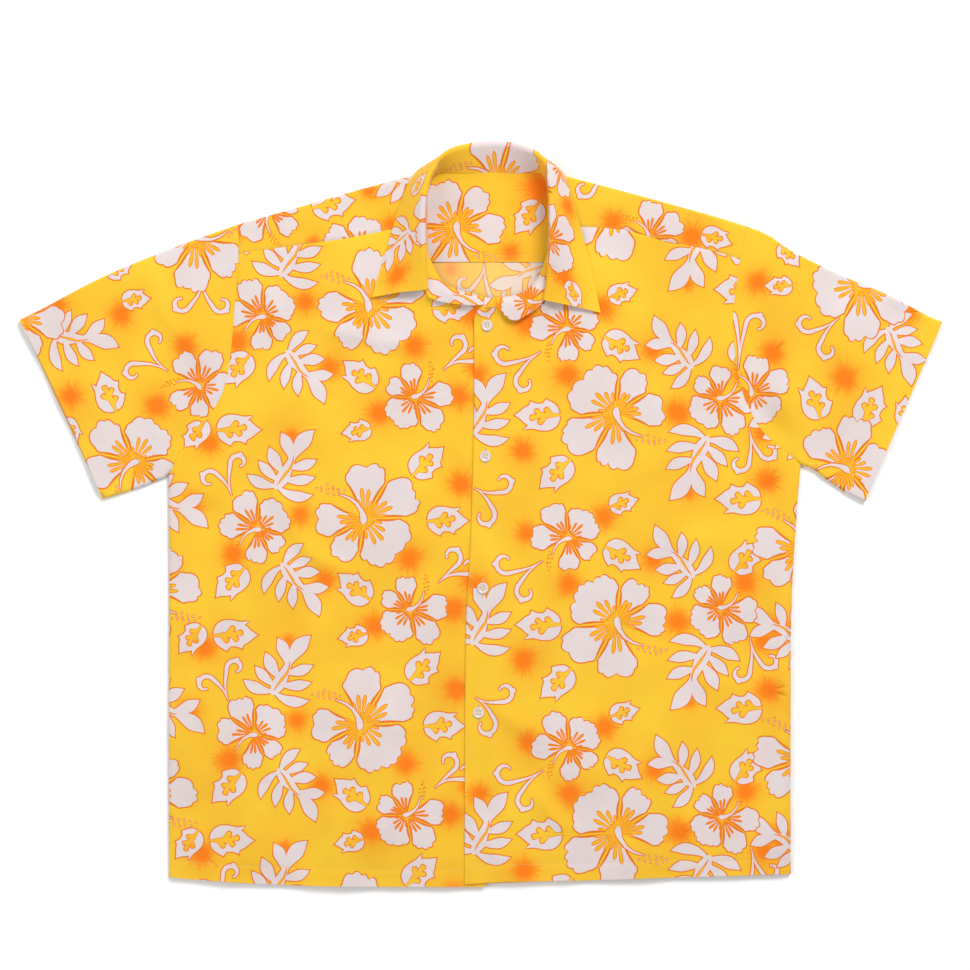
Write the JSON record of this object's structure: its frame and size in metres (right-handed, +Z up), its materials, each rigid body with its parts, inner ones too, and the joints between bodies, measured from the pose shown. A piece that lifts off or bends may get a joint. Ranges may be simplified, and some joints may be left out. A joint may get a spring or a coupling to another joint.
{
  "type": "hawaiian shirt, laid flat",
  "caption": "Short-sleeved hawaiian shirt with a fold-down collar and a buttoned front band, lying flat on its back.",
  "frame": {"origin": "on the underside of the back panel, on the table, at the middle of the shirt's width across both cuffs", "axes": "+X towards the wearer's left cuff, +Y towards the collar, +Z up out of the shirt's front"},
  "size_m": [0.922, 0.7441, 0.0348],
  "materials": {
    "printed_cotton": "matt plain weave, printed",
    "pearl_button": "semi-gloss pearl"
  },
  "bodies": {
    "root": {"back_panel": "printed_cotton", "back_yoke": "printed_cotton", "yoke_facing": "printed_cotton", "front_right": "printed_cotton", "front_left": "printed_cotton", "facing_right": "printed_cotton", "facing_left": "printed_cotton", "collar": "printed_cotton", "sleeve_right": "printed_cotton", "sleeve_left": "printed_cotton", "button_1": "pearl_button", "button_2": "pearl_button", "button_3": "pearl_button", "button_4": "pearl_button"}
  },
  "joints": []
}
